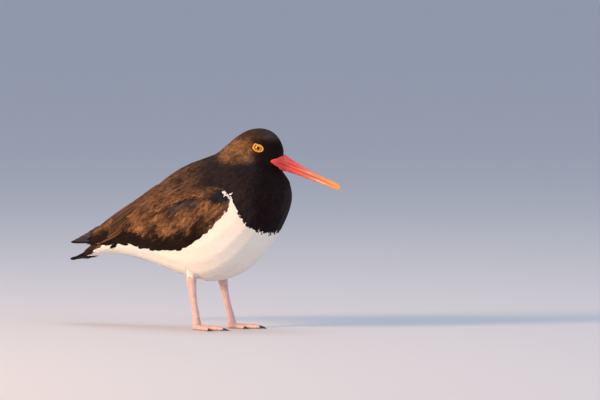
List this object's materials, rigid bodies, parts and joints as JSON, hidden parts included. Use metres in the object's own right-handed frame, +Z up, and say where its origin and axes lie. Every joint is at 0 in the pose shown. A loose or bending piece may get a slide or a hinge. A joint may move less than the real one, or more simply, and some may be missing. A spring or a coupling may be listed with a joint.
{
  "type": "oystercatcher",
  "caption": "Life-size still model of a pied oystercatcher standing at rest on pink legs, with a long red bill, yellow eyes and its head turned to its left.",
  "frame": {"origin": "on the ground below the middle of the bird's box", "axes": "+X the way the body faces, +Y the bird's left, +Z up"},
  "size_m": [0.3212, 0.108, 0.2138],
  "materials": {
    "black_plumage": "black-brown contour feathers over skin",
    "white_plumage": "white contour feathers over skin",
    "white_feathers": "loose white feathers",
    "brown_feathers": "worn dark brown wing feathers",
    "black_feathers": "stiff black flight and tail feathers",
    "bill": "red horn, orange-yellow at the tip",
    "eye": "wet yellow eye with a black pupil",
    "leg_skin": "pale pink scaled skin",
    "claw": "black horn"
  },
  "bodies": {
    "root": {"head": "black_plumage", "neck": "black_plumage", "breast_front": "black_plumage", "trunk": "white_plumage", "rump": "white_feathers", "tail": "black_feathers", "wing_left": "brown_feathers", "wing_right": "brown_feathers", "primaries_left": "black_feathers", "primaries_right": "black_feathers", "bill_upper": "bill", "bill_lower": "bill", "eye_left": "eye", "eye_right": "eye", "leg_left": "leg_skin", "leg_right": "leg_skin", "foot_left": "leg_skin", "foot_right": "leg_skin", "claw_left_inner": "claw", "claw_left_middle": "claw", "claw_left_outer": "claw", "claw_right_inner": "claw", "claw_right_middle": "claw", "claw_right_outer": "claw"}
  },
  "joints": []
}
